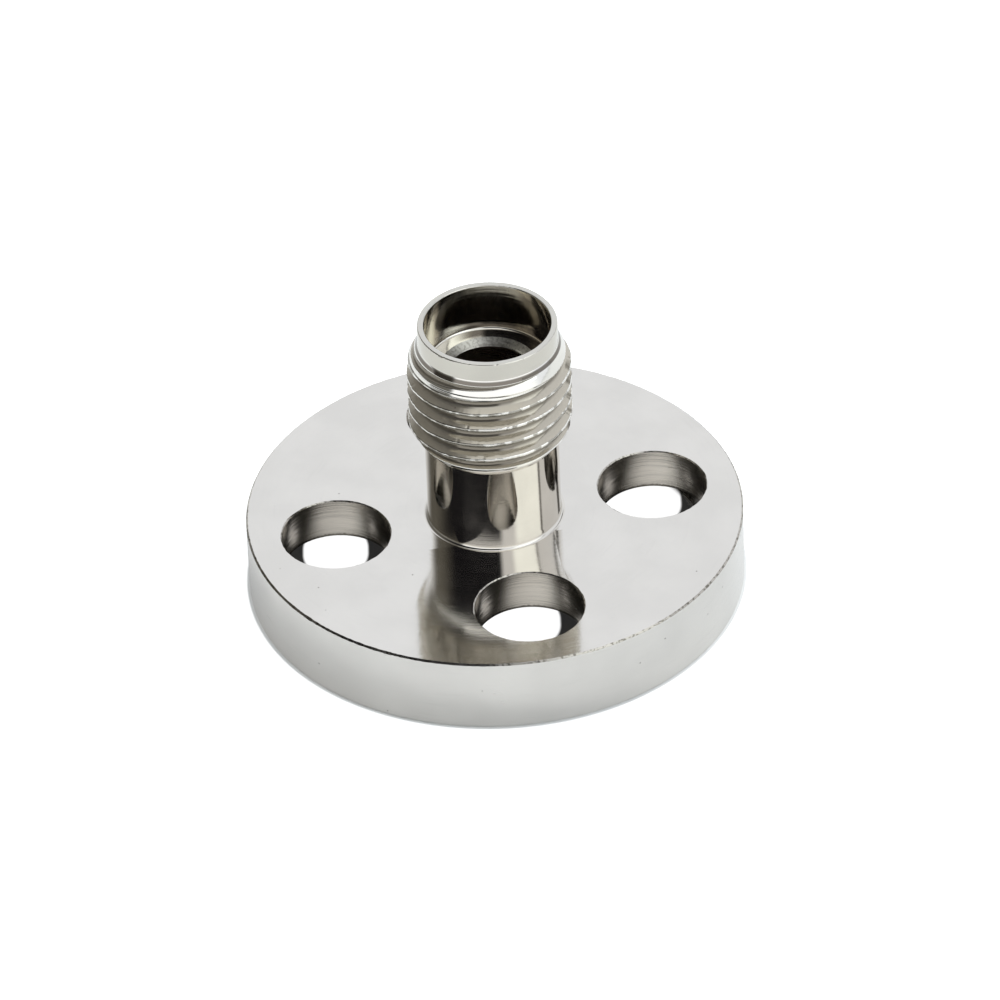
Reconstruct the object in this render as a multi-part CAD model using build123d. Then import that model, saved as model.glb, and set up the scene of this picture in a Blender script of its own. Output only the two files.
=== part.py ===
from build123d import *
import math
import os

# Receptacle body for a round fibre optic connector, in millimetres. It is one piece, turned and drilled
# from bar. The origin is on the axis of the bore, in the plane that the flange stands on, +Z runs up the
# bore, and the fixing holes lie on the X and Y axes.

# Thread of the collar: a fine inch thread with 60 degree flanks, right-handed.
THREAD_D = 6.27                 # outside diameter over the crests
THREADS_PER_INCH = 36
INCH = 25.4
FLANK_ANGLE = 60.0              # angle between the two flanks of a groove
CREST_SHARE = 1 / 8             # flat on the crest, as a share of the pitch
ROOT_SHARE = 1 / 4              # flat in the root, as a share of the pitch
OVERCUT = 0.02                  # how far the cutter stands outside the crests
START_ANGLE = -111.0            # where round the axis the groove starts, below the collar

# Threaded collar, from the end of the barrel to the foot of the rim.
COLLAR_L = 4.455
FOOT_L = 0.795                  # height of the cone under the thread
LEAD_L = 0.96                   # height of the lead-in cone above the thread

# Barrel between flange and collar.
BARREL_L = 3.62
BARREL_RELIEF = 0.203           # how far the barrel lies below the thread's root
BARREL_FOOT_R = 0.15            # fillet where the barrel meets the flange

# Thin rim at the top.
RIM_L = 0.745
RIM_RELIEF = 0.103              # how far the rim lies below the thread's root
RIM_WALL = 0.25
RIM_EDGE_R = 0.05               # rounding of the lip

# Bore, from the lip down.
COUNTERBORE_DEPTH = 2.0
COUNTERBORE_CORNER_R = 0.12
SINK_W = 0.26                   # width of the 45 degree countersink on the shoulder
FERRULE_BORE_D = 3.18
EXIT_CHAMFER = 0.15             # on the bore's lower edge, in the roof of the hollow

# Flange with its fixing holes, and the round hollow in its underside.
FLANGE_T = 3.0                  # height of the flange's side
FLANGE_EDGE = 0.06
WEB_T = 1.7                     # metal above the hollow, through which the holes are drilled
HOLLOW_MARGIN = 0.25            # from a hole to the wall of the hollow
HOLE_COUNT = 4
HOLE_D = 4.15
HOLE_CIRCLE_D = 12.35
HOLE_EDGE = 0.03
HOLE_MARGIN = 1.25              # from a hole to the flange's edge

# Sizes that follow from those above.
PITCH = INCH / THREADS_PER_INCH
SLOPE = math.tan(math.radians(FLANK_ANGLE / 2))
THREAD_DEPTH = PITCH * (1 - CREST_SHARE - ROOT_SHARE) / (2 * SLOPE)
CREST_R = THREAD_D / 2
ROOT_R = CREST_R - THREAD_DEPTH
BARREL_R = ROOT_R - BARREL_RELIEF
RIM_R = ROOT_R - RIM_RELIEF
COUNTERBORE_R = RIM_R - RIM_WALL
FERRULE_BORE_R = FERRULE_BORE_D / 2
HOLES_REACH = HOLE_CIRCLE_D / 2 + HOLE_D / 2
FLANGE_R = HOLES_REACH + HOLE_MARGIN
HOLLOW_R = HOLES_REACH + HOLLOW_MARGIN
HOLLOW_Z = FLANGE_T - WEB_T

COLLAR_Z = FLANGE_T + BARREL_L
RIM_Z = COLLAR_Z + COLLAR_L
TOP_Z = RIM_Z + RIM_L
SHOULDER_Z = TOP_Z - COUNTERBORE_DEPTH


def turned(*outline):
    """A solid of revolution about the Z axis, from (radius, height) points."""
    corners = [(radius, 0, height) for radius, height in outline]
    return revolve(make_face(Polyline(*corners, close=True)), Axis.Z)


def circles_at(shape, radius, height):
    """The round edges of a shape that have this radius and lie at this height."""
    rings = shape.edges().filter_by(GeomType.CIRCLE)
    return rings.filter_by(lambda ring: math.isclose(ring.radius, radius, abs_tol=1e-4)
                           and math.isclose(ring.arc_center.Z, height, abs_tol=1e-4))


def flange():
    """The round flange: a web with a skirt round the hollow, its outer edges broken."""
    plate = turned(
        (0, HOLLOW_Z),
        (HOLLOW_R, HOLLOW_Z),
        (HOLLOW_R, 0),
        (FLANGE_R, 0),
        (FLANGE_R, FLANGE_T),
        (0, FLANGE_T),
    )
    edges = circles_at(plate, HOLLOW_R, 0) + circles_at(plate, FLANGE_R, 0) + circles_at(plate, FLANGE_R, FLANGE_T)
    return chamfer(edges, FLANGE_EDGE)


def stem_outline():
    """Barrel, collar and rim as turned, before the thread and the bore are cut."""
    return turned(
        (0, HOLLOW_Z),
        (BARREL_R, HOLLOW_Z),
        (BARREL_R, COLLAR_Z),
        (CREST_R, COLLAR_Z + FOOT_L),
        (CREST_R, RIM_Z - LEAD_L),
        (RIM_R, RIM_Z),
        (RIM_R, TOP_Z),
        (0, TOP_Z),
    )


def bore():
    """The stepped hole down the middle: counterbore, countersink and ferrule bore."""
    hole = turned(
        (0, HOLLOW_Z),
        (FERRULE_BORE_R + EXIT_CHAMFER, HOLLOW_Z),
        (FERRULE_BORE_R, HOLLOW_Z + EXIT_CHAMFER),
        (FERRULE_BORE_R, SHOULDER_Z - SINK_W),
        (FERRULE_BORE_R + SINK_W, SHOULDER_Z),
        (COUNTERBORE_R, SHOULDER_Z),
        (COUNTERBORE_R, TOP_Z),
        (0, TOP_Z),
    )
    return fillet(circles_at(hole, COUNTERBORE_R, SHOULDER_Z), COUNTERBORE_CORNER_R)


def thread_groove():
    """The helical groove, from a pitch below the collar to a pitch above it: it runs out at both ends."""
    path = Helix(PITCH, COLLAR_L + 2 * PITCH, ROOT_R)
    outer = THREAD_DEPTH + OVERCUT
    root_half = PITCH * ROOT_SHARE / 2
    outer_half = root_half + outer * SLOPE
    section = make_face(Polyline(
        (ROOT_R, 0, -root_half),
        (ROOT_R + outer, 0, -outer_half),
        (ROOT_R + outer, 0, outer_half),
        (ROOT_R, 0, root_half),
        close=True,
    ))
    groove = sweep(section, path=path, is_frenet=True)
    return Pos(0, 0, COLLAR_Z - PITCH) * Rot(0, 0, START_ANGLE) * groove


def stem():
    """The stem with its thread: what a threaded bar and the turned outline have in common."""
    bar = turned((0, 0), (CREST_R, 0), (CREST_R, TOP_Z + PITCH), (0, TOP_Z + PITCH))
    return stem_outline() & (bar - thread_groove())


def fixing_holes():
    """The plain through holes of the web, their edges broken on both faces."""
    radius = HOLE_D / 2
    hole = turned(
        (0, HOLLOW_Z),
        (radius + HOLE_EDGE, HOLLOW_Z),
        (radius, HOLLOW_Z + HOLE_EDGE),
        (radius, FLANGE_T - HOLE_EDGE),
        (radius + HOLE_EDGE, FLANGE_T),
        (0, FLANGE_T),
    )
    return [place * hole for place in PolarLocations(HOLE_CIRCLE_D / 2, HOLE_COUNT)]


def receptacle_body():
    """The whole piece."""
    body = flange() + stem()
    body = fillet(circles_at(body, BARREL_R, FLANGE_T), BARREL_FOOT_R)
    body -= bore()
    for hole in fixing_holes():
        body -= hole
    lip = circles_at(body, RIM_R, TOP_Z) + circles_at(body, COUNTERBORE_R, TOP_Z)
    return fillet(lip, RIM_EDGE_R)


os.makedirs("parts", exist_ok=True)
export_step(receptacle_body(), "parts/receptacle_body.step")
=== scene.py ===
import math
import random

import bmesh
import bpy
from mathutils import Matrix, Vector
from mathutils.geometry import delaunay_2d_cdt


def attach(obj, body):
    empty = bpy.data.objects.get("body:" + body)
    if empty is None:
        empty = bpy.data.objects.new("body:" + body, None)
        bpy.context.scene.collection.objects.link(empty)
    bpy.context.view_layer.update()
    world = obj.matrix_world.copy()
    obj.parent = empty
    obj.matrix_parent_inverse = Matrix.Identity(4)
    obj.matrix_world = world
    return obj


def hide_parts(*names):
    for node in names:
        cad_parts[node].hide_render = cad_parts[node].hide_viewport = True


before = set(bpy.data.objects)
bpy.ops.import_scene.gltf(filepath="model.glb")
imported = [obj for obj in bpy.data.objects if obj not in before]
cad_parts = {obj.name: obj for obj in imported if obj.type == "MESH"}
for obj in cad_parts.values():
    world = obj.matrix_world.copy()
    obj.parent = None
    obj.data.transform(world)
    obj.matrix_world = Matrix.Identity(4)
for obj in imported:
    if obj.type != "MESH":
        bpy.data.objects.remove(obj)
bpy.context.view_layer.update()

MM = 0.001

# The part's own sizes, in millimetres. It stands on the plane z = 0, with its bore up the Z axis.
THREAD_D = 6.27             # over the crests
THREADS_PER_INCH = 36
INCH = 25.4
FLANK_ANGLE = 60.0          # degrees between the two flanks of the groove
CREST_SHARE = 1 / 8         # flat on the crest, as a share of the pitch
ROOT_SHARE = 1 / 4          # flat in the root, as a share of the pitch
GROOVE_START = -111.0       # degrees round the axis where the groove starts

COLLAR_L = 4.455            # from the barrel to the rim, with the cones at both ends
FOOT_L = 0.795              # height of the cone under the thread
LEAD_L = 0.96               # height of the lead-in cone above it

BARREL_L = 3.62
BARREL_RELIEF = 0.203       # how far the barrel lies below the thread's root
BARREL_FOOT_R = 0.15        # fillet where it meets the flange

RIM_L = 0.745
RIM_RELIEF = 0.103          # how far the rim lies below the thread's root
RIM_WALL = 0.25
LIP_R = 0.05

COUNTERBORE_DEPTH = 2.0
COUNTERBORE_CORNER_R = 0.12
SINK_W = 0.26               # width of the 45 degree countersink on the shoulder
BORE_D = 3.18
EXIT_CHAMFER = 0.15

FLANGE_T = 3.0              # height of its side
FLANGE_EDGE = 0.06
WEB_T = 1.7                 # metal above the hollow
HOLLOW_MARGIN = 0.25        # from a hole to the hollow's wall
HOLLOW_CORNER_R = 0.05
HOLE_COUNT = 4
HOLE_D = 4.15
HOLE_CIRCLE_D = 12.35
HOLE_EDGE = 0.03
HOLE_MARGIN = 1.25          # from a hole to the flange's edge

# Sizes that follow from those above.
PITCH = INCH / THREADS_PER_INCH
SLOPE = math.tan(math.radians(FLANK_ANGLE / 2))
ROOT_HALF = PITCH * ROOT_SHARE / 2
THREAD_DEPTH = PITCH * (1 - CREST_SHARE - ROOT_SHARE) / (2 * SLOPE)
CREST_R = THREAD_D / 2
ROOT_R = CREST_R - THREAD_DEPTH
BARREL_R = ROOT_R - BARREL_RELIEF
RIM_R = ROOT_R - RIM_RELIEF
COUNTERBORE_R = RIM_R - RIM_WALL
BORE_R = BORE_D / 2
HOLE_R = HOLE_D / 2
HOLE_REACH = HOLE_CIRCLE_D / 2
FLANGE_R = HOLE_REACH + HOLE_R + HOLE_MARGIN
HOLLOW_R = HOLE_REACH + HOLE_R + HOLLOW_MARGIN
HOLLOW_Z = FLANGE_T - WEB_T

COLLAR_Z = FLANGE_T + BARREL_L
FOOT_Z = COLLAR_Z + FOOT_L
RIM_Z = COLLAR_Z + COLLAR_L
LEAD_Z = RIM_Z - LEAD_L
TOP_Z = RIM_Z + RIM_L
SHOULDER_Z = TOP_Z - COUNTERBORE_DEPTH

# Wear. The first ones round the thread, and the others are the deepest that an edge is worn or nicked.
CREST_ROUND = 0.03
CREST_ROUND_SHARE = 0.06    # it is at most this share of the groove's width, which shrinks where it runs out
ROOT_ROUND = 0.06
CREST_WEAR = 0.055
CREST_ZONE = 0.06           # what lies less than this below the crests wears as they do
FLANGE_WEAR = 0.03
HOLE_WEAR = 0.035
LIP_WEAR = 0.03
INNER_LIP_WEAR = 0.02

# Fineness of the surface: how many columns go round, and how near two rows of the collar may lie.
COLUMNS = 432
FLANGE_COLUMNS = 576
HOLE_COLUMNS = 128
THINNEST = 0.003

# Nicks in the lip, as first column, number of columns and depth: four larger ones, and a row of fine ones.
LIP_NICKS = [(391, 5, 0.08), (424, 2, 0.06), (19, 2, 0.06), (48, 2, 0.07)]
LIP_NICKS += [(column, 1, 0.035) for column in range(348, 408, 4)]

# The finishes. Each face of the surface carries the number of one.
FACE, BARREL, CREST, GROOVE, RIM, COUNTERBORE, BORE, SHOULDER, SINK, HOLE, SIDE, HOLLOW, EDGE = range(13)

# The camera, as the flange, the holes, the rim and the thread place it. Lengths are in millimetres.
TURN = 10.91                # degrees from the Y axis to its view, clockwise from above
CAMERA_RISE = 0.65597       # radians that it looks down
CAMERA_ROLL = 0.03929       # radians that it leans
CAMERA_REACH = 310.8        # from the middle of the flange's upper face
CAMERA_RIGHT = 0.2223       # how far its axis passes to the right of that point
CAMERA_UP = 0.3392          # how far it passes above it
CAMERA_LENS = 293.07
SENSOR_W = 36


def camera():
    """The camera, at the photograph's viewing angle."""
    turn = math.radians(TURN)
    across = Vector((math.cos(turn), -math.sin(turn), 0))
    away = Vector((math.sin(turn), math.cos(turn), 0))
    up = away * math.sin(CAMERA_RISE) + Vector((0, 0, math.cos(CAMERA_RISE)))
    ahead = away * math.cos(CAMERA_RISE) - Vector((0, 0, math.sin(CAMERA_RISE)))
    place = Vector((0, 0, FLANGE_T)) + across * CAMERA_RIGHT + up * CAMERA_UP - ahead * CAMERA_REACH
    data = bpy.data.cameras.new("camera")
    data.sensor_width = SENSOR_W
    data.lens = CAMERA_LENS
    data.clip_start = 0.01
    data.clip_end = 20
    side = across * math.cos(CAMERA_ROLL) - up * math.sin(CAMERA_ROLL)
    top = across * math.sin(CAMERA_ROLL) + up * math.cos(CAMERA_ROLL)
    turned = Matrix((side, top, -ahead)).transposed().to_4x4()
    cam = bpy.data.objects.new("camera", data)
    cam.matrix_world = Matrix.Translation(place * MM) @ turned
    bpy.context.scene.collection.objects.link(cam)
    bpy.context.scene.camera = cam


def outline(z):
    """Radius of the collar as turned, before its thread is cut."""
    if z < FOOT_Z:
        return BARREL_R + (CREST_R - BARREL_R) * (z - COLLAR_Z) / (FOOT_Z - COLLAR_Z)
    if z > LEAD_Z:
        return RIM_R + (CREST_R - RIM_R) * (RIM_Z - z) / (RIM_Z - LEAD_Z)
    return CREST_R


def groove_radius(z, centre):
    """Radius of the groove's floor and flanks, for the turn with this centre."""
    return ROOT_R + max(0.0, abs(z - centre) - ROOT_HALF) / SLOPE


def halve(low, high, is_past):
    """The height between two others where is_past turns from false to true."""
    for _ in range(30):
        middle = (low + high) / 2
        if is_past(middle):
            high = middle
        else:
            low = middle
    return (low + high) / 2


def groove_edges(centre):
    """Heights at which one turn of the groove, with this centre, cuts the turned outline, low to high."""
    def gap(z):
        """How far the groove's surface lies outside the turned outline."""
        return groove_radius(z, centre) - outline(z)

    reach = ROOT_HALF + THREAD_DEPTH * SLOPE
    deepest = centre + (ROOT_HALF if centre < (FOOT_Z + LEAD_Z) / 2 else -ROOT_HALF)
    if gap(deepest) >= 0:
        return [deepest] * 4
    low = centre - reach
    if gap(low) > 0:
        low = halve(low, deepest, lambda z: gap(z) <= 0)
    high = centre + reach
    if gap(high) > 0:
        high = halve(deepest, high, lambda z: gap(z) > 0)
    return [low, max(low, centre - ROOT_HALF), min(high, centre + ROOT_HALF), high]


ROUND_IN = 0.4              # where the middle of a crest's rounding lies, as shares of its height: inwards
ROUND_ALONG = 0.25          # and along the flank
ROWS_A_TURN = 14            # rows of points that each turn of the thread gives a column
GROOVE_ROWS = range(2, 9)   # those of them from which a face runs up inside the groove


def collar_column(share):
    """One column of the collar as (radius, height) pairs; share is how far round the helix it stands."""
    turns = int(COLLAR_L / PITCH) + 3
    centres = [COLLAR_Z + PITCH * (share + k - 1) for k in range(turns)]
    edges = [groove_edges(centre) for centre in centres]
    rows = []
    for centre, (a, b, c, d), after in zip(centres, edges, edges[1:] + [[RIM_Z + PITCH]]):
        # The groove's floor runs from b to c and its flanks from a to d, with soft corners all along.
        soft = min(CREST_ROUND, (d - a) * CREST_ROUND_SHARE)
        low = min(soft * SLOPE, (b - a) / 3)
        high = min(soft * SLOPE, (d - c) / 3)
        root = min(ROOT_ROUND, (c - b) / 3)
        heights = [
            a + low,
            (a + b) / 2,
            b - min(root, (b - a) / 3),
            b + root,
            c - root,
            c + min(root, (d - c) / 3),
            (c + d) / 2,
            d - high,
        ]
        rows.append((outline(a - soft), a - soft))
        rows.append((outline(a) - low * ROUND_IN, a + low * ROUND_ALONG))
        rows += [(min(outline(z), groove_radius(z, centre)), z) for z in heights]
        rows.append((outline(d) - high * ROUND_IN, d - high * ROUND_ALONG))
        rows.append((outline(d + soft), d + soft))
        for corner in (FOOT_Z, LEAD_Z):
            z = min(max(corner, d + soft), max(after[0] - soft, d + soft))
            rows.append((outline(z), z))
    kept = [(BARREL_R, COLLAR_Z)]
    for r, z in rows:
        if z > RIM_Z:
            r, z = RIM_R, RIM_Z
        if z - kept[-1][1] < THINNEST:
            r, z = kept[-1]
        kept.append((r, z))
    return kept + [(RIM_R, RIM_Z)]


def round_angle(j, columns, start=GROOVE_START):
    """The angle of column j out of so many, in radians."""
    return math.radians(start) + 2 * math.pi * (j % columns) / columns


def chips(count, depth, seed, run=1, nicks=()):
    """How much is worn off at each place of an edge: a little everywhere, and more in a few nicks.

    The slow part of the wear goes from one level to the next in run places. More nicks are listed,
    each as its first place, its number of places and its depth.
    """
    slow_share = 0.45       # of the depth, where there is no nick
    fine_share = 0.15
    places_a_nick = 30
    least = 0.6             # of a nick's depth
    chance = random.Random(seed)
    fine = [chance.random() for _ in range(count)]
    knots = [chance.random() for _ in range(count // run)]
    worn = []
    for i in range(count):
        knot, share = i // run % len(knots), i % run / run
        slow = knots[knot] * (1 - share) + knots[(knot + 1) % len(knots)] * share
        worn.append(depth * (slow_share * slow + fine_share * fine[i]))
    few = []
    for _ in range(count // places_a_nick):
        few.append((chance.randrange(count), chance.choice((1, 1, 2, 3)), chance.uniform(least, 1) * depth))
    for place, width, size in few + list(nicks):
        for i in range(place, place + width):
            worn[i % count] = size * chance.uniform(least, 1)
    return worn


def arc(middle_r, middle_z, radius, start, end, steps):
    """Points of a fillet as (radius, height) pairs, from one angle to another."""
    angles = [math.radians(start + (end - start) * i / steps) for i in range(steps + 1)]
    return [(middle_r + radius * math.cos(angle), middle_z + radius * math.sin(angle)) for angle in angles]


class Skin:
    """The surface of the part: points in millimetres, and faces that carry the number of their finish."""

    def __init__(self):
        self.points = []
        self.known = {}
        self.faces = []
        self.sharp = []

    def point(self, x, y, z):
        """The number of the point at this place, which is made if there is none."""
        key = (round(x, 6), round(y, 6), round(z, 6))
        if key not in self.known:
            self.known[key] = len(self.points)
            self.points.append((x, y, z))
        return self.known[key]

    def face(self, ids, finish):
        """A face; points that fall together count once."""
        kept = [i for n, i in enumerate(ids) if i != ids[n - 1]]
        if len(kept) > 2:
            self.faces.append((kept, finish))

    def ring(self, radius, height, columns=COLUMNS, middle=(0.0, 0.0), start=GROOVE_START, out=(), down=()):
        """A closed ring of points round a vertical axis; out and down move each point by its own share."""
        ids = []
        for j in range(columns):
            angle = round_angle(j, columns, start)
            r = radius + (out[j] if out else 0)
            z = height - (down[j] if down else 0)
            ids.append(self.point(middle[0] + r * math.cos(angle), middle[1] + r * math.sin(angle), z))
        return ids

    def band(self, low, high, finish, inward=False):
        """Quads between two rings of as many points, facing away from their axis unless inward."""
        count = len(low)
        for j in range(count):
            k = (j + 1) % count
            face = (low[j], low[k], high[k], high[j])
            self.face(face[::-1] if inward else face, finish)

    def crease(self, ring):
        """Marks a ring as a sharp edge."""
        self.sharp += [(ring[j], ring[(j + 1) % len(ring)]) for j in range(len(ring))]

    def plate(self, outer, holes, finish, up):
        """A flat face between an outer ring and the rings of its holes."""
        flat, ids, loops = [], [], []
        for loop in [outer] + holes:
            loops.append(list(range(len(flat), len(flat) + len(loop))))
            flat += [Vector(self.points[i][:2]) for i in loop]
            ids += loop
        _, _, triangles, sources, _, within = delaunay_2d_cdt(flat, [], loops, 0, 1e-9)
        corners = [ids[source[0]] for source in sources]
        for triangle, inside in zip(triangles, within):
            # Loop 0 is the outer ring: what lies within it alone is neither past the edge nor in a hole.
            if list(inside) != [0]:
                continue
            face = tuple(corners[i] for i in triangle)
            a, b, c = (Vector(self.points[i]) for i in face)
            faces_up = (b - a).cross(c - a).z > 0
            self.face(face if faces_up == up else face[::-1], finish)


def add_flange(skin):
    """The hollow's wall from its roof down, the skirt's foot and the side; gives the first and last ring."""
    edge, corner = FLANGE_EDGE, HOLLOW_CORNER_R
    hollow = arc(HOLLOW_R - corner, HOLLOW_Z - corner, corner, 90, 0, 3)
    hollow += [(HOLLOW_R, edge), (HOLLOW_R + edge, 0)]
    side = [(FLANGE_R - edge, 0), (FLANGE_R, edge), (FLANGE_R, FLANGE_T - edge), (FLANGE_R - edge, FLANGE_T)]
    worn = chips(FLANGE_COLUMNS, FLANGE_WEAR, seed=3)
    rings = [skin.ring(r, z, FLANGE_COLUMNS) for r, z in (hollow + side)[:-2]]
    rings.append(skin.ring(*side[-2], FLANGE_COLUMNS, down=worn))
    rings.append(skin.ring(*side[-1], FLANGE_COLUMNS, out=[-size for size in worn]))
    finishes = [HOLLOW] * len(hollow) + [SIDE] * (len(side) - 2) + [EDGE]
    for low, high, finish in zip(rings, rings[1:], finishes):
        skin.band(low, high, finish)
    for ring in rings[len(hollow) - 2:]:
        skin.crease(ring)
    return rings[0], rings[-1]


def add_holes(skin):
    """The fixing holes, each from its lower edge to its upper one; gives their lowest and highest rings."""
    wall = [
        (HOLE_R + HOLE_EDGE, HOLLOW_Z),
        (HOLE_R, HOLLOW_Z + HOLE_EDGE),
        (HOLE_R, FLANGE_T - HOLE_EDGE),
        (HOLE_R + HOLE_EDGE, FLANGE_T),
    ]
    bottoms, tops = [], []
    for i in range(HOLE_COUNT):
        angle = 2 * math.pi * i / HOLE_COUNT
        middle = (HOLE_REACH * math.cos(angle), HOLE_REACH * math.sin(angle))
        rings = []
        for n, (r, z) in enumerate(wall):
            # The rings in the two faces wear outwards, and the one under the upper face wears down.
            worn = chips(HOLE_COLUMNS, HOLE_WEAR, seed=10 * i + n)
            out = worn if n in (0, 3) else ()
            down = worn if n == 2 else ()
            rings.append(skin.ring(r, z, HOLE_COLUMNS, middle, 0, out, down))
        for low, high, finish in zip(rings, rings[1:], (HOLE, HOLE, EDGE)):
            skin.band(low, high, finish, inward=True)
        for ring in rings:
            skin.crease(ring)
        bottoms.append(rings[0])
        tops.append(rings[-1])
    return bottoms, tops


def add_barrel(skin):
    """The barrel, from its fillet on the flange to the collar; gives the ring on the flange."""
    rows = arc(BARREL_R + BARREL_FOOT_R, FLANGE_T + BARREL_FOOT_R, BARREL_FOOT_R, 270, 180, 6)
    rings = [skin.ring(r, z) for r, z in rows + [(BARREL_R, COLLAR_Z)]]
    for low, high in zip(rings, rings[1:]):
        skin.band(low, high, BARREL)
    skin.crease(rings[-1])
    return rings[0]


def add_collar(skin):
    """The threaded collar, in columns that follow the helix, so that each edge of the thread is a row."""
    turns_worn = 9          # the most turns of the helix that a column crosses
    worn = chips(COLUMNS * turns_worn, CREST_WEAR, seed=1, run=8)
    columns = []
    for j in range(COLUMNS + 1):
        angle = round_angle(j, COLUMNS)
        column = []
        for r, z in collar_column(j / COLUMNS):
            if r > CREST_R - CREST_ZONE:
                turn = math.floor((z - COLLAR_Z) / PITCH - j / COLUMNS) + 1
                r -= worn[turn * COLUMNS + j]
            column.append(skin.point(r * math.cos(angle), r * math.sin(angle), z))
        columns.append(column)
    for here, there in zip(columns, columns[1:]):
        for i in range(len(here) - 1):
            finish = GROOVE if (i - 1) % ROWS_A_TURN in GROOVE_ROWS else CREST
            skin.face((here[i], there[i], there[i + 1], here[i + 1]), finish)


def add_rim(skin):
    """The rim, from the collar up and over the lip; gives its last ring, in the counterbore."""
    worn = chips(COLUMNS, LIP_WEAR, seed=5, run=4, nicks=LIP_NICKS)
    outside = arc(RIM_R - LIP_R, TOP_Z - LIP_R, LIP_R, 0, 90, 5)
    rings = [skin.ring(RIM_R, RIM_Z)]
    rings += [skin.ring(r, z, down=worn) for r, z in outside[:3]]
    rings += [skin.ring(r, z, down=[size / 3 for size in worn]) for r, z in outside[3:]]
    skin.crease(rings[0])
    worn_inside = chips(COLUMNS, INNER_LIP_WEAR, seed=6, run=4)
    inside = arc(COUNTERBORE_R + LIP_R, TOP_Z - LIP_R, LIP_R, 90, 180, 5)
    rings += [skin.ring(r, z, down=worn_inside) for r, z in inside[1:]]
    for low, high in zip(rings, rings[1:]):
        skin.band(low, high, RIM)
    return rings[-1]


def add_bore(skin, top):
    """The counterbore, shoulder, countersink and bore, down from the lip's last ring; gives their last."""
    corner, steps = COUNTERBORE_CORNER_R, 6
    rows = arc(COUNTERBORE_R - corner, SHOULDER_Z + corner, corner, 0, -90, steps)
    rows += [
        (BORE_R + SINK_W, SHOULDER_Z),
        (BORE_R, SHOULDER_Z - SINK_W),
        (BORE_R, HOLLOW_Z + EXIT_CHAMFER),
        (BORE_R + EXIT_CHAMFER, HOLLOW_Z),
    ]
    rings = [top] + [skin.ring(r, z) for r, z in rows]
    finishes = [COUNTERBORE] * (steps + 1) + [SHOULDER, SINK, BORE, SINK]
    for low, high, finish in zip(rings, rings[1:], finishes):
        skin.band(low, high, finish)
    for ring in rings[-4:]:
        skin.crease(ring)
    return rings[-1]


def build_skin():
    """The whole surface, closed: flange, holes, stem with its thread, and the stepped bore."""
    skin = Skin()
    hollow_roof, flange_top = add_flange(skin)
    hole_bottoms, hole_tops = add_holes(skin)
    barrel_foot = add_barrel(skin)
    skin.plate(flange_top, hole_tops + [barrel_foot], FACE, up=True)
    add_collar(skin)
    bore_exit = add_bore(skin, add_rim(skin))
    skin.plate(hollow_roof, hole_bottoms + [bore_exit], HOLLOW, up=False)
    return skin


def body_mesh():
    """The surface as a mesh in metres."""
    skin = build_skin()
    mesh = bpy.data.meshes.new("receptacle_body_plated")
    bm = bmesh.new()
    verts = [bm.verts.new((x * MM, y * MM, z * MM)) for x, y, z in skin.points]
    for ids, finish in skin.faces:
        face = bm.faces.new([verts[i] for i in ids])
        face.material_index = finish
        face.smooth = True
    for a, b in skin.sharp:
        edge = bm.edges.get((verts[a], verts[b]))
        if edge:
            edge.smooth = False
    bm.to_mesh(mesh)
    bm.free()
    return mesh


camera()
body = bpy.data.objects.new("receptacle_body_plated", body_mesh())
bpy.context.scene.collection.objects.link(body)
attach(body, "root")
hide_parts("receptacle_body")


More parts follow.
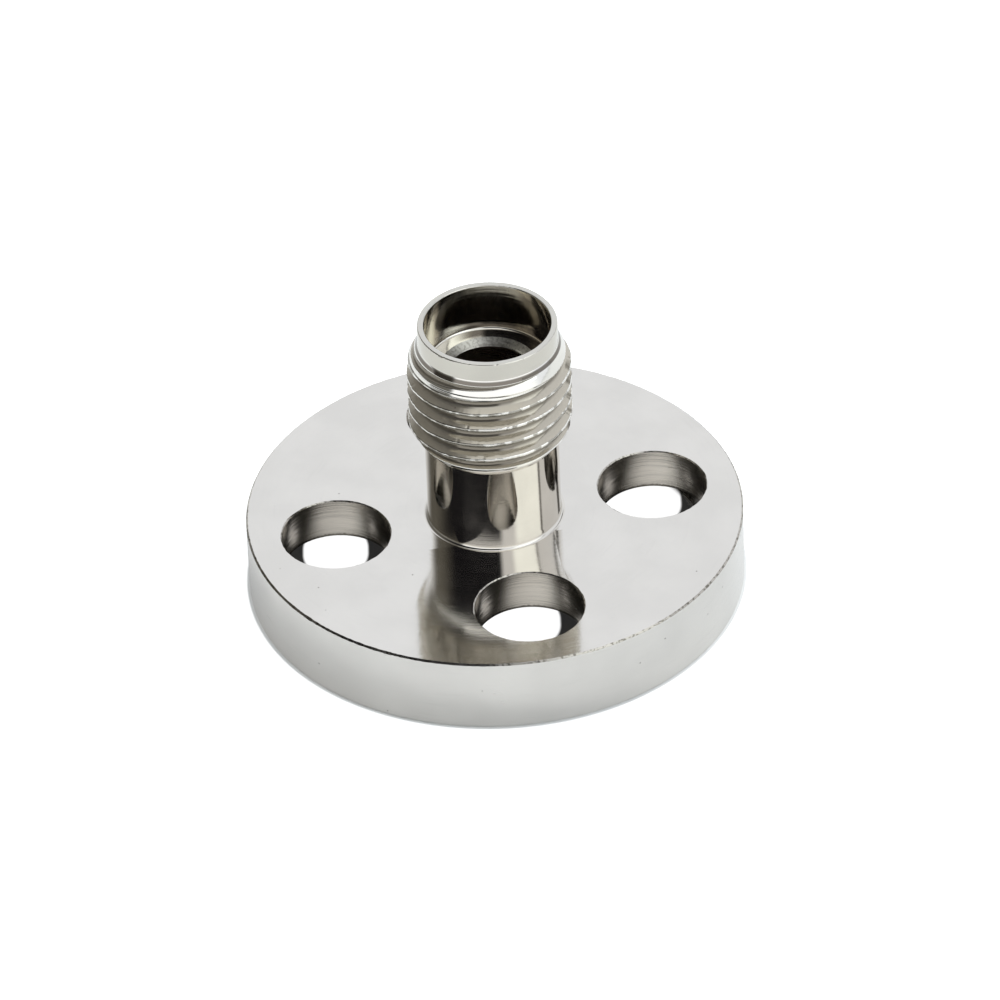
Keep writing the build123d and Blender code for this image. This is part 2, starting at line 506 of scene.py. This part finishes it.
class Nodes:
    """The nodes of a material or a world. A value is a number, a colour or the output of another node."""

    def __init__(self, owner):
        owner.use_nodes = True
        self.tree = owner.node_tree

    def add(self, kind, **settings):
        """A new node of this kind."""
        node = self.tree.nodes.new("ShaderNode" + kind)
        for name, setting in settings.items():
            setattr(node, name, setting)
        return node

    def feed(self, slot, value):
        """Gives an input its value."""
        if isinstance(value, bpy.types.NodeSocket):
            self.tree.links.new(value, slot)
        else:
            slot.default_value = (*value, 1) if isinstance(value, tuple) else value

    def maths(self, operation, *values):
        """The outcome of one operation."""
        node = self.add("Math", operation=operation)
        for slot, value in zip(node.inputs, values):
            self.feed(slot, value)
        return node.outputs[0]

    def plus(self, a, b):
        """The sum of two values."""
        return self.maths("ADD", a, b)

    def minus(self, a, b):
        """One value less another."""
        return self.maths("SUBTRACT", a, b)

    def times(self, a, b):
        """The product of two values."""
        return self.maths("MULTIPLY", a, b)

    def fold(self, operation, values):
        """One operation over all the values, one after the other."""
        whole = values[0]
        for value in values[1:]:
            whole = self.maths(operation, whole, value)
        return whole

    def ramp(self, value, start, end, low=0.0, high=1.0):
        """A smooth step from one level to another, while the value goes from start to end."""
        node = self.add("MapRange", interpolation_type="SMOOTHSTEP")
        self.feed(node.inputs["Value"], value)
        for name, number in (("From Min", start), ("From Max", end), ("To Min", low), ("To Max", high)):
            self.feed(node.inputs[name], number)
        return node.outputs["Result"]

    def mix(self, factor, first, second):
        """The colour between two others. Inputs 6 and 7 take colours, and output 2 gives one."""
        node = self.add("Mix", data_type="RGBA")
        self.feed(node.inputs["Factor"], factor)
        self.feed(node.inputs[6], first)
        self.feed(node.inputs[7], second)
        return node.outputs[2]

    def length(self, a, b):
        """The length of a flat vector."""
        return self.maths("SQRT", self.plus(self.times(a, a), self.times(b, b)))

    def place_in_mm(self):
        """The place on the surface in millimetres, as a vector and as its three parts."""
        where = self.add("TexCoord")
        scaled = self.add("VectorMath", operation="SCALE")
        scaled.inputs["Scale"].default_value = 1 / MM
        self.feed(scaled.inputs[0], where.outputs["Object"])
        parts = self.add("SeparateXYZ")
        self.feed(parts.inputs[0], scaled.outputs[0])
        return scaled.outputs[0], parts.outputs

    def to_the_right(self, x, y):
        """How far a place lies from the axis, across the photograph's view."""
        turn = math.radians(TURN)
        return self.minus(self.times(x, math.cos(turn)), self.times(y, math.sin(turn)))

    def noise(self, scale, detail, vector=None, along=None):
        """Noise of this many grains a millimetre, in space or along one measure."""
        node = self.add("TexNoise")
        node.inputs["Scale"].default_value = scale
        node.inputs["Detail"].default_value = detail
        if along is not None:
            node.noise_dimensions = "1D"
            self.feed(node.inputs["W"], along)
        else:
            self.feed(node.inputs["Vector"], vector)
        return node.outputs["Fac"]


# Tones of the plate, of what lies on it, and of the shade painted on it.
PLATE = (0.7, 0.67, 0.62)
GRIT = (0.16, 0.145, 0.12)
# Painted shade in the thread's root.
ROOT_SHADE = (0.16, 0.14, 0.11)
RUBBED = (0.3, 0.28, 0.24)
# Painted shade that grows to the right of the counterbore.
RIGHT_SHADE = (0.36, 0.32, 0.26)
# Tone of the grime's specks, and of the bands of painted shade at corners.
GRIME_AND_SHADE = (0.12, 0.1, 0.08)
# Painted shade along the lower edge of a fixing hole.
HOLE_FOOT_SHADE = (0.12, 0.11, 0.09)

# Patterns in the plate, in grains a millimetre.
CLOUD_SCALE = 0.45
GRAIN_SCALE = 9
RING_SCALE = 7
RUB_SCALE = 2.1
SPECK_SCALE = 0.9
STREAK_SCALE = 1.3
STREAK_ALONG = 0.5          # streaks are drawn out by this along the turning
STREAK_ACROSS = 9           # and packed by this across it
SPECK_R = 0.02, 0.045       # a speck fades out between these shares of its place
MARK_DEPTH = 0.006          # depth of the turning marks in millimetres, where marks is 1


def shade(tone, factor):
    """A tone made lighter or darker."""
    return tuple(min(c * factor, 1) for c in tone)


class Plating(Nodes):
    """Plated metal with its turning marks and clouds; what lies on it and the shade painted on it are added
    in layers, before finish.
    """

    def __init__(self, name, tone, roughness, marks, flat=False, grit=0.0, metallic=1.0, stretch=0.0):
        self.material = bpy.data.materials.new("nickel_" + name)
        super().__init__(self.material)
        self.shader = self.tree.nodes["Principled BSDF"]
        self.shader.inputs["Metallic"].default_value = metallic
        self.mark_depth = MARK_DEPTH * marks
        self.where, (self.x, self.y, self.z) = self.place_in_mm()

        run = self.reach() if flat else self.z
        streaks = self.streaks(run)
        rings = self.noise(RING_SCALE, 4, along=run)
        self.clouds = self.noise(CLOUD_SCALE, 4, self.where)
        self.grains = self.noise(GRAIN_SCALE, 3, self.where)

        self.colour = self.mix(self.ramp(self.clouds, 0.3, 0.7), shade(tone, 0.97), shade(tone, 1.03))
        self.cover(self.ramp(streaks, 0.56, 0.72, 0, 0.12 * marks), shade(tone, 0.55))
        if grit:
            self.cover(self.ramp(self.grains, 0.5, 0.6, 0, grit), GRIT)

        dull = self.ramp(streaks, 0.3, 0.7, roughness * 0.75, roughness * 1.1)
        dull = self.plus(dull, self.ramp(self.clouds, 0.35, 0.7, 0, roughness * 0.3))
        self.feed(self.shader.inputs["Roughness"], dull)

        self.height = self.plus(self.times(rings, 0.5), self.times(streaks, 0.5))
        grain_height = 0.35 if grit else 0.06
        self.height = self.plus(self.height, self.times(self.grains, grain_height))
        if stretch:
            self.stretch_gloss(stretch)

    def reach(self):
        """How far a place lies from the axis of the bore."""
        return self.length(self.x, self.y)

    def streaks(self, run):
        """Streaks that follow the turning: fine across it and long along it."""
        drawn_out = self.add("CombineXYZ")
        for slot, value in zip(drawn_out.inputs, (self.x, self.y, self.z)):
            self.feed(slot, self.times(value, STREAK_ALONG))
        packed = self.add("CombineXYZ")
        self.feed(packed.inputs[2], self.times(run, STREAK_ACROSS))
        place = self.add("VectorMath", operation="ADD")
        self.feed(place.inputs[0], drawn_out.outputs[0])
        self.feed(place.inputs[1], packed.outputs[0])
        return self.noise(STREAK_SCALE, 3, place.outputs[0])

    def stretch_gloss(self, amount):
        """Draws the gloss out across the turning."""
        tangent = self.add("Tangent", direction_type="RADIAL", axis="Z")
        self.feed(self.shader.inputs["Tangent"], tangent.outputs[0])
        self.shader.inputs["Anisotropic"].default_value = amount
        self.shader.inputs["Anisotropic Rotation"].default_value = 0.25

    def cover(self, mask, tone):
        """Lays a tone over the colour."""
        self.colour = self.mix(mask, self.colour, tone)

    def shade_roots(self):
        """Painted shade in the thread's root: the plate grows darker towards the root."""
        self.cover(self.ramp(self.reach(), ROOT_R + 0.03, ROOT_R + 0.13, 0.85, 0), ROOT_SHADE)

    def rubbed_crests(self):
        """Places on the thread's crests where the plate is rubbed dull."""
        rubbed = self.ramp(self.noise(RUB_SCALE, 3, self.where), 0.46, 0.55, 0, 0.85)
        edge = self.ramp(self.reach(), CREST_R - 0.17, CREST_R - 0.12)
        self.cover(self.times(rubbed, edge), RUBBED)

    def side(self):
        """How far a place lies to the right, with a cloudy border."""
        return self.plus(self.to_the_right(self.x, self.y), self.times(self.clouds, 0.5))

    def shade_right(self):
        """Painted shade that grows to the right."""
        self.cover(self.ramp(self.side(), 0.3, 1.9), RIGHT_SHADE)

    def shade_band(self, low, high, right_only=False):
        """A band of painted shade between two heights."""
        starts = self.ramp(self.z, low - 0.015, low + 0.015)
        ends = self.ramp(self.z, high - 0.06, high, 0.9, 0)
        mask = self.times(starts, ends)
        if right_only:
            mask = self.times(mask, self.ramp(self.side(), -1.1, -0.4))
        self.cover(mask, GRIME_AND_SHADE)

    def shade_foot(self):
        """Painted shade along the lower edge of a fixing hole, with a ragged border."""
        ragged = self.plus(self.z, self.times(self.grains, 0.12))
        self.cover(self.ramp(ragged, HOLLOW_Z + 0.15, HOLLOW_Z + 0.22, 0.85, 0), HOLE_FOOT_SHADE)

    def turned_line(self, middle, half, depth):
        """A fine turned line, with its middle at this height."""
        falls = self.ramp(self.z, middle - half, middle - half / 3)
        rises = self.ramp(self.z, middle + half / 3, middle + half, 1, 0)
        line = self.times(falls, rises)
        self.height = self.minus(self.height, self.times(line, depth / self.mark_depth))

    def finish(self):
        """Adds the specks, and puts the material on the body."""
        specks = self.add("TexVoronoi")
        specks.inputs["Scale"].default_value = SPECK_SCALE
        self.feed(specks.inputs["Vector"], self.where)
        self.cover(self.ramp(specks.outputs["Distance"], *SPECK_R, 0.7, 0), GRIME_AND_SHADE)
        self.feed(self.shader.inputs["Base Color"], self.colour)
        bump = self.add("Bump")
        bump.inputs["Strength"].default_value = 1
        bump.inputs["Distance"].default_value = self.mark_depth * MM
        self.feed(bump.inputs["Height"], self.height)
        self.feed(self.shader.inputs["Normal"], bump.outputs[0])
        body.data.materials.append(self.material)


def thread_crest():
    """Crests and cones of the collar: a turned line on the upper cone, and a band of painted shade where it
    meets the rim.
    """
    crest = Plating("crest", (0.8, 0.78, 0.73), 0.06, marks=0.4)
    crest.rubbed_crests()
    crest.shade_band(RIM_Z - 0.19, RIM_Z - 0.01)
    crest.turned_line(RIM_Z - 0.625, half=0.09, depth=0.045)
    crest.finish()


def thread_groove():
    """The thread's groove. Its tone, darker and less metallic than the crests', is partly a duller layer in
    the groove and partly painted shade; painted shade darkens its root.
    """
    groove = Plating("groove", (0.49, 0.45, 0.375), 0.08, marks=0.4, metallic=0.68)
    groove.shade_roots()
    groove.finish()


def counterbore_wall():
    """The counterbore's wall, with painted shade that grows to the right, and a band of painted shade over
    its corner on the right.
    """
    wall = Plating("counterbore", (0.72, 0.69, 0.62), 0.1, marks=0.4)
    wall.shade_right()
    wall.shade_band(SHOULDER_Z + 0.08, SHOULDER_Z + 0.42, right_only=True)
    wall.finish()


def hole_wall():
    """The drilled wall of a fixing hole, with painted shade along its foot."""
    wall = Plating("hole", (0.7, 0.655, 0.59), 0.2, marks=1.5)
    wall.shade_foot()
    wall.finish()


# The materials, in the order of the finishes' numbers.
Plating("turned_face", PLATE, 0.085, marks=0.25, flat=True, stretch=0.9).finish()
Plating("barrel", (0.68, 0.645, 0.585), 0.06, marks=0.2, stretch=0.8).finish()
thread_crest()
thread_groove()
Plating("rim", (0.61, 0.585, 0.525), 0.1, marks=0.3).finish()
counterbore_wall()
Plating("bore", (0.4, 0.34, 0.28), 0.3, marks=0.6).finish()
Plating("shoulder", (0.78, 0.75, 0.68), 0.15, marks=0.6, flat=True).finish()
Plating("countersink", (0.46, 0.44, 0.39), 0.35, marks=2, flat=True, grit=0.5).finish()
hole_wall()
Plating("side", (0.71, 0.69, 0.66), 0.2, marks=0.5).finish()
Plating("hollow", (0.66, 0.63, 0.58), 0.2, marks=1, flat=True).finish()
Plating("edge", (0.48, 0.45, 0.4), 0.25, marks=1, grit=0.9).finish()

weighted = body.modifiers.new("weighted", "WEIGHTED_NORMAL")
weighted.mode = "FACE_AREA"
weighted.keep_sharp = True

FLOOR_HALF = 2              # metres
# The paper's tone, and below it the darker tone of the painted shadow under the part.
PAPER = (0.87, 0.88, 0.87)
SHADED_PAPER = (0.07, 0.065, 0.055)
UNDER_R = HOLLOW_R - 0.2, HOLLOW_R + 0.1        # the shade under the part fades out between these
WHITE_R = FLANGE_R + 0.07, FLANGE_R + 0.13      # beyond the part, the lift to white fades in between these

# The painted light below each hole: a broad pool of light, small glints and a white slot, in millimetres to
# the right of the hole's axis and away from the camera's side.
PAINTED_POOL = -0.2, -0.75                                  # middle of the broad soft spot
PAINTED_POOL_R = 0.9, 2.2                                   # it fades out between these
PAINTED_GLINTS = (0.9, 2.05, 0.75), (-1.25, 1.25, 0.4)      # middle and radius of each small one
OPENING_AWAY = 2.8                                  # middle of the white slot beyond the hole
OPENING_HALF = 0.15                                 # half the width of the slot's straight part
OPENING_ENDS = 0.6, 1.1                             # how far its ends are rounded, across and away
OPENING_REACH = (                                   # how far it goes left and right, hole by hole
    (2.7, 1.2),
    (1.7, 1.7),
    (1.4, 1.16),
    (2.8, 1.2),
)


def paper():
    """Paper, white where it is looked at. Under the part it carries a painted shadow, with painted pools of
    light, glints and white slots below each hole.
    """
    material = bpy.data.materials.new("paper")
    nodes = Nodes(material)
    maths, plus, minus, times = nodes.maths, nodes.plus, nodes.minus, nodes.times
    ramp, length = nodes.ramp, nodes.length
    shader = nodes.tree.nodes["Principled BSDF"]
    shader.inputs["Roughness"].default_value = 1
    shader.inputs["Specular IOR Level"].default_value = 0
    shader.inputs["Emission Color"].default_value = (1, 1, 1, 1)

    _, (x, y, _) = nodes.place_in_mm()
    turn = math.radians(TURN)
    across = nodes.to_the_right(x, y)
    away = plus(times(x, math.sin(turn)), times(y, math.cos(turn)))
    reach = length(x, y)
    under = ramp(reach, *UNDER_R, 1, 0)

    painted_pools, painted_glints, white_patches = [], [], []
    for i, (left, right) in enumerate(OPENING_REACH):
        angle = 2 * math.pi * i / HOLE_COUNT + turn
        u = minus(across, HOLE_REACH * math.cos(angle))
        v = minus(away, HOLE_REACH * math.sin(angle))
        apart = length(times(minus(u, PAINTED_POOL[0]), 0.92), times(minus(v, PAINTED_POOL[1]), 1.1))
        painted_pools.append(ramp(apart, *PAINTED_POOL_R, 1, 0))
        for glint_u, glint_v, size in PAINTED_GLINTS:
            apart = length(minus(u, glint_u), minus(v, glint_v))
            painted_glints.append(ramp(apart, size * 0.4, size, 1, 0))
        middle = (right - left) / 2
        half = (right + left) / 2 - OPENING_ENDS[0]
        past_u = maths("MAXIMUM", minus(maths("ABSOLUTE", minus(u, middle)), half), 0)
        past_v = maths("MAXIMUM", minus(maths("ABSOLUTE", minus(v, OPENING_AWAY)), OPENING_HALF), 0)
        past = length(times(past_u, 1 / OPENING_ENDS[0]), times(past_v, 1 / OPENING_ENDS[1]))
        white_patches.append(ramp(past, 0.85, 1.05, 1, 0))

    painted_pool, painted_glint, white_patch = (nodes.fold("MAXIMUM", values) for values in (painted_pools, painted_glints, white_patches))
    # The painted shadow under the part, lifted by the painted pools of light.
    tone = nodes.mix(times(under, minus(1, painted_pool)), PAPER, SHADED_PAPER)
    nodes.feed(shader.inputs["Base Color"], tone)

    # What is added where the paper is looked at, and where metal mirrors it; under the part this is painted
    # light.
    looked = plus(ramp(reach, *WHITE_R, 0, 0.55), times(under, plus(white_patch, 0.02)))
    mirrored = plus(times(painted_pool, 0.3), times(painted_glint, 0.6))
    rays = nodes.add("LightPath")
    second = maths("MAXIMUM", rays.outputs["Is Glossy Ray"], rays.outputs["Is Transmission Ray"])
    first = times(rays.outputs["Is Camera Ray"], looked)
    nodes.feed(shader.inputs["Emission Strength"], plus(first, times(second, mirrored)))

    # Seen from below it is clear, so that the underside of the part can be looked at.
    mixed = nodes.add("MixShader")
    nodes.feed(mixed.inputs[0], nodes.add("NewGeometry").outputs["Backfacing"])
    nodes.feed(mixed.inputs[1], shader.outputs[0])
    nodes.feed(mixed.inputs[2], nodes.add("BsdfTransparent").outputs[0])
    nodes.feed(nodes.tree.nodes["Material Output"].inputs["Surface"], mixed.outputs[0])
    return material


floor_mesh = bpy.data.meshes.new("floor")
corners = [(x * FLOOR_HALF, y * FLOOR_HALF, 0) for x, y in ((-1, -1), (1, -1), (1, 1), (-1, 1))]
floor_mesh.from_pydata(corners, [], [(0, 1, 2, 3)])
floor_mesh.materials.append(paper())
floor = bpy.data.objects.new("floor", floor_mesh)
bpy.context.scene.collection.objects.link(floor)

# The room: its tone, and soft panels laid over it one after the other. A panel is its tone, then its left,
# right, lower and upper edge. An edge is the two angles between which the panel fades, low to high. They are
# degrees round from the camera, to its right, or degrees up from the horizon. None is no edge.
ROOM = (1.02, 1.06, 1.13)
PANELS = (
    # Bright ceiling.
    ((1.15, 1.18, 1.2), None, None, (62, 74), None),
    # Dim wall to the left.
    ((0.16, 0.155, 0.14), (-165, -130), (-60, -40), (-4, 4), (62, 75)),
    # Black cloth behind the camera, and the white board below it.
    ((0.012, 0.012, 0.015), (-120, -75), (4, 16), (24, 28), (56, 66)),
    ((1.3, 1.33, 1.36), (-56, -48), (60, 75), (-4, 0), (20, 24)),
    # Soft light to the right, and a grey strip along its edge.
    ((1.65, 1.75, 1.8), (28, 40), (80, 84), (22, 26), (60, 64)),
    ((0.25, 0.25, 0.25), (82, 84), (86, 88), (20, 25), (60, 64)),
    # Dark strip farther round.
    ((0.12, 0.12, 0.12), (132, 137), (143, 148), (20, 25), (50, 55)),
)


def studio():
    """A white room with a dark side behind the camera, as bright turned metal shows it."""
    world = bpy.data.worlds.new("room")
    bpy.context.scene.world = world
    nodes = Nodes(world)
    where = nodes.add("TexCoord")
    turn = nodes.add("VectorRotate", rotation_type="Z_AXIS")
    turn.inputs["Angle"].default_value = math.radians(TURN)
    nodes.feed(turn.inputs["Vector"], where.outputs["Generated"])
    parts = nodes.add("SeparateXYZ")
    nodes.feed(parts.inputs[0], turn.outputs[0])
    x, y, z = parts.outputs
    around = nodes.maths("ARCTAN2", x, nodes.times(y, -1))
    around = nodes.times(around, 180 / math.pi)
    height = nodes.times(nodes.maths("ARCSINE", z), 180 / math.pi)

    colour = ROOM
    for tone, left, right, low, high in PANELS:
        masks = []
        for value, near, far in ((around, left, right), (height, low, high)):
            if near:
                masks.append(nodes.ramp(value, *near))
            if far:
                masks.append(nodes.ramp(value, *reversed(far)))
        colour = nodes.mix(nodes.fold("MULTIPLY", masks), colour, tone)
    seen = nodes.mix(nodes.add("LightPath").outputs["Is Camera Ray"], colour, (1.0, 1.0, 1.0))
    background = nodes.tree.nodes["Background"]
    background.inputs["Strength"].default_value = 1
    nodes.feed(background.inputs["Color"], seen)


def lamp(name, azimuth, elevation, distance, size, power):
    """A soft square lamp aimed at the part; azimuth counts from the camera's side, to the right."""
    data = bpy.data.lights.new(name, "AREA")
    data.shape = "SQUARE"
    data.size = size
    data.energy = power
    turn = math.radians(azimuth - TURN)
    rise = math.radians(elevation)
    towards = Vector((math.sin(turn) * math.cos(rise), -math.cos(turn) * math.cos(rise), math.sin(rise)))
    light = bpy.data.objects.new(name, data)
    light.location = towards * distance
    light.rotation_euler = towards.to_track_quat("Z", "Y").to_euler()
    light.visible_glossy = False
    bpy.context.scene.collection.objects.link(light)


studio()
lamp("side_lamp", azimuth=135, elevation=52, distance=0.6, size=0.2, power=0.95)
lamp("fill_lamp", azimuth=-115, elevation=38, distance=0.6, size=0.4, power=1.15)
bpy.context.scene.view_settings.view_transform = "Standard"
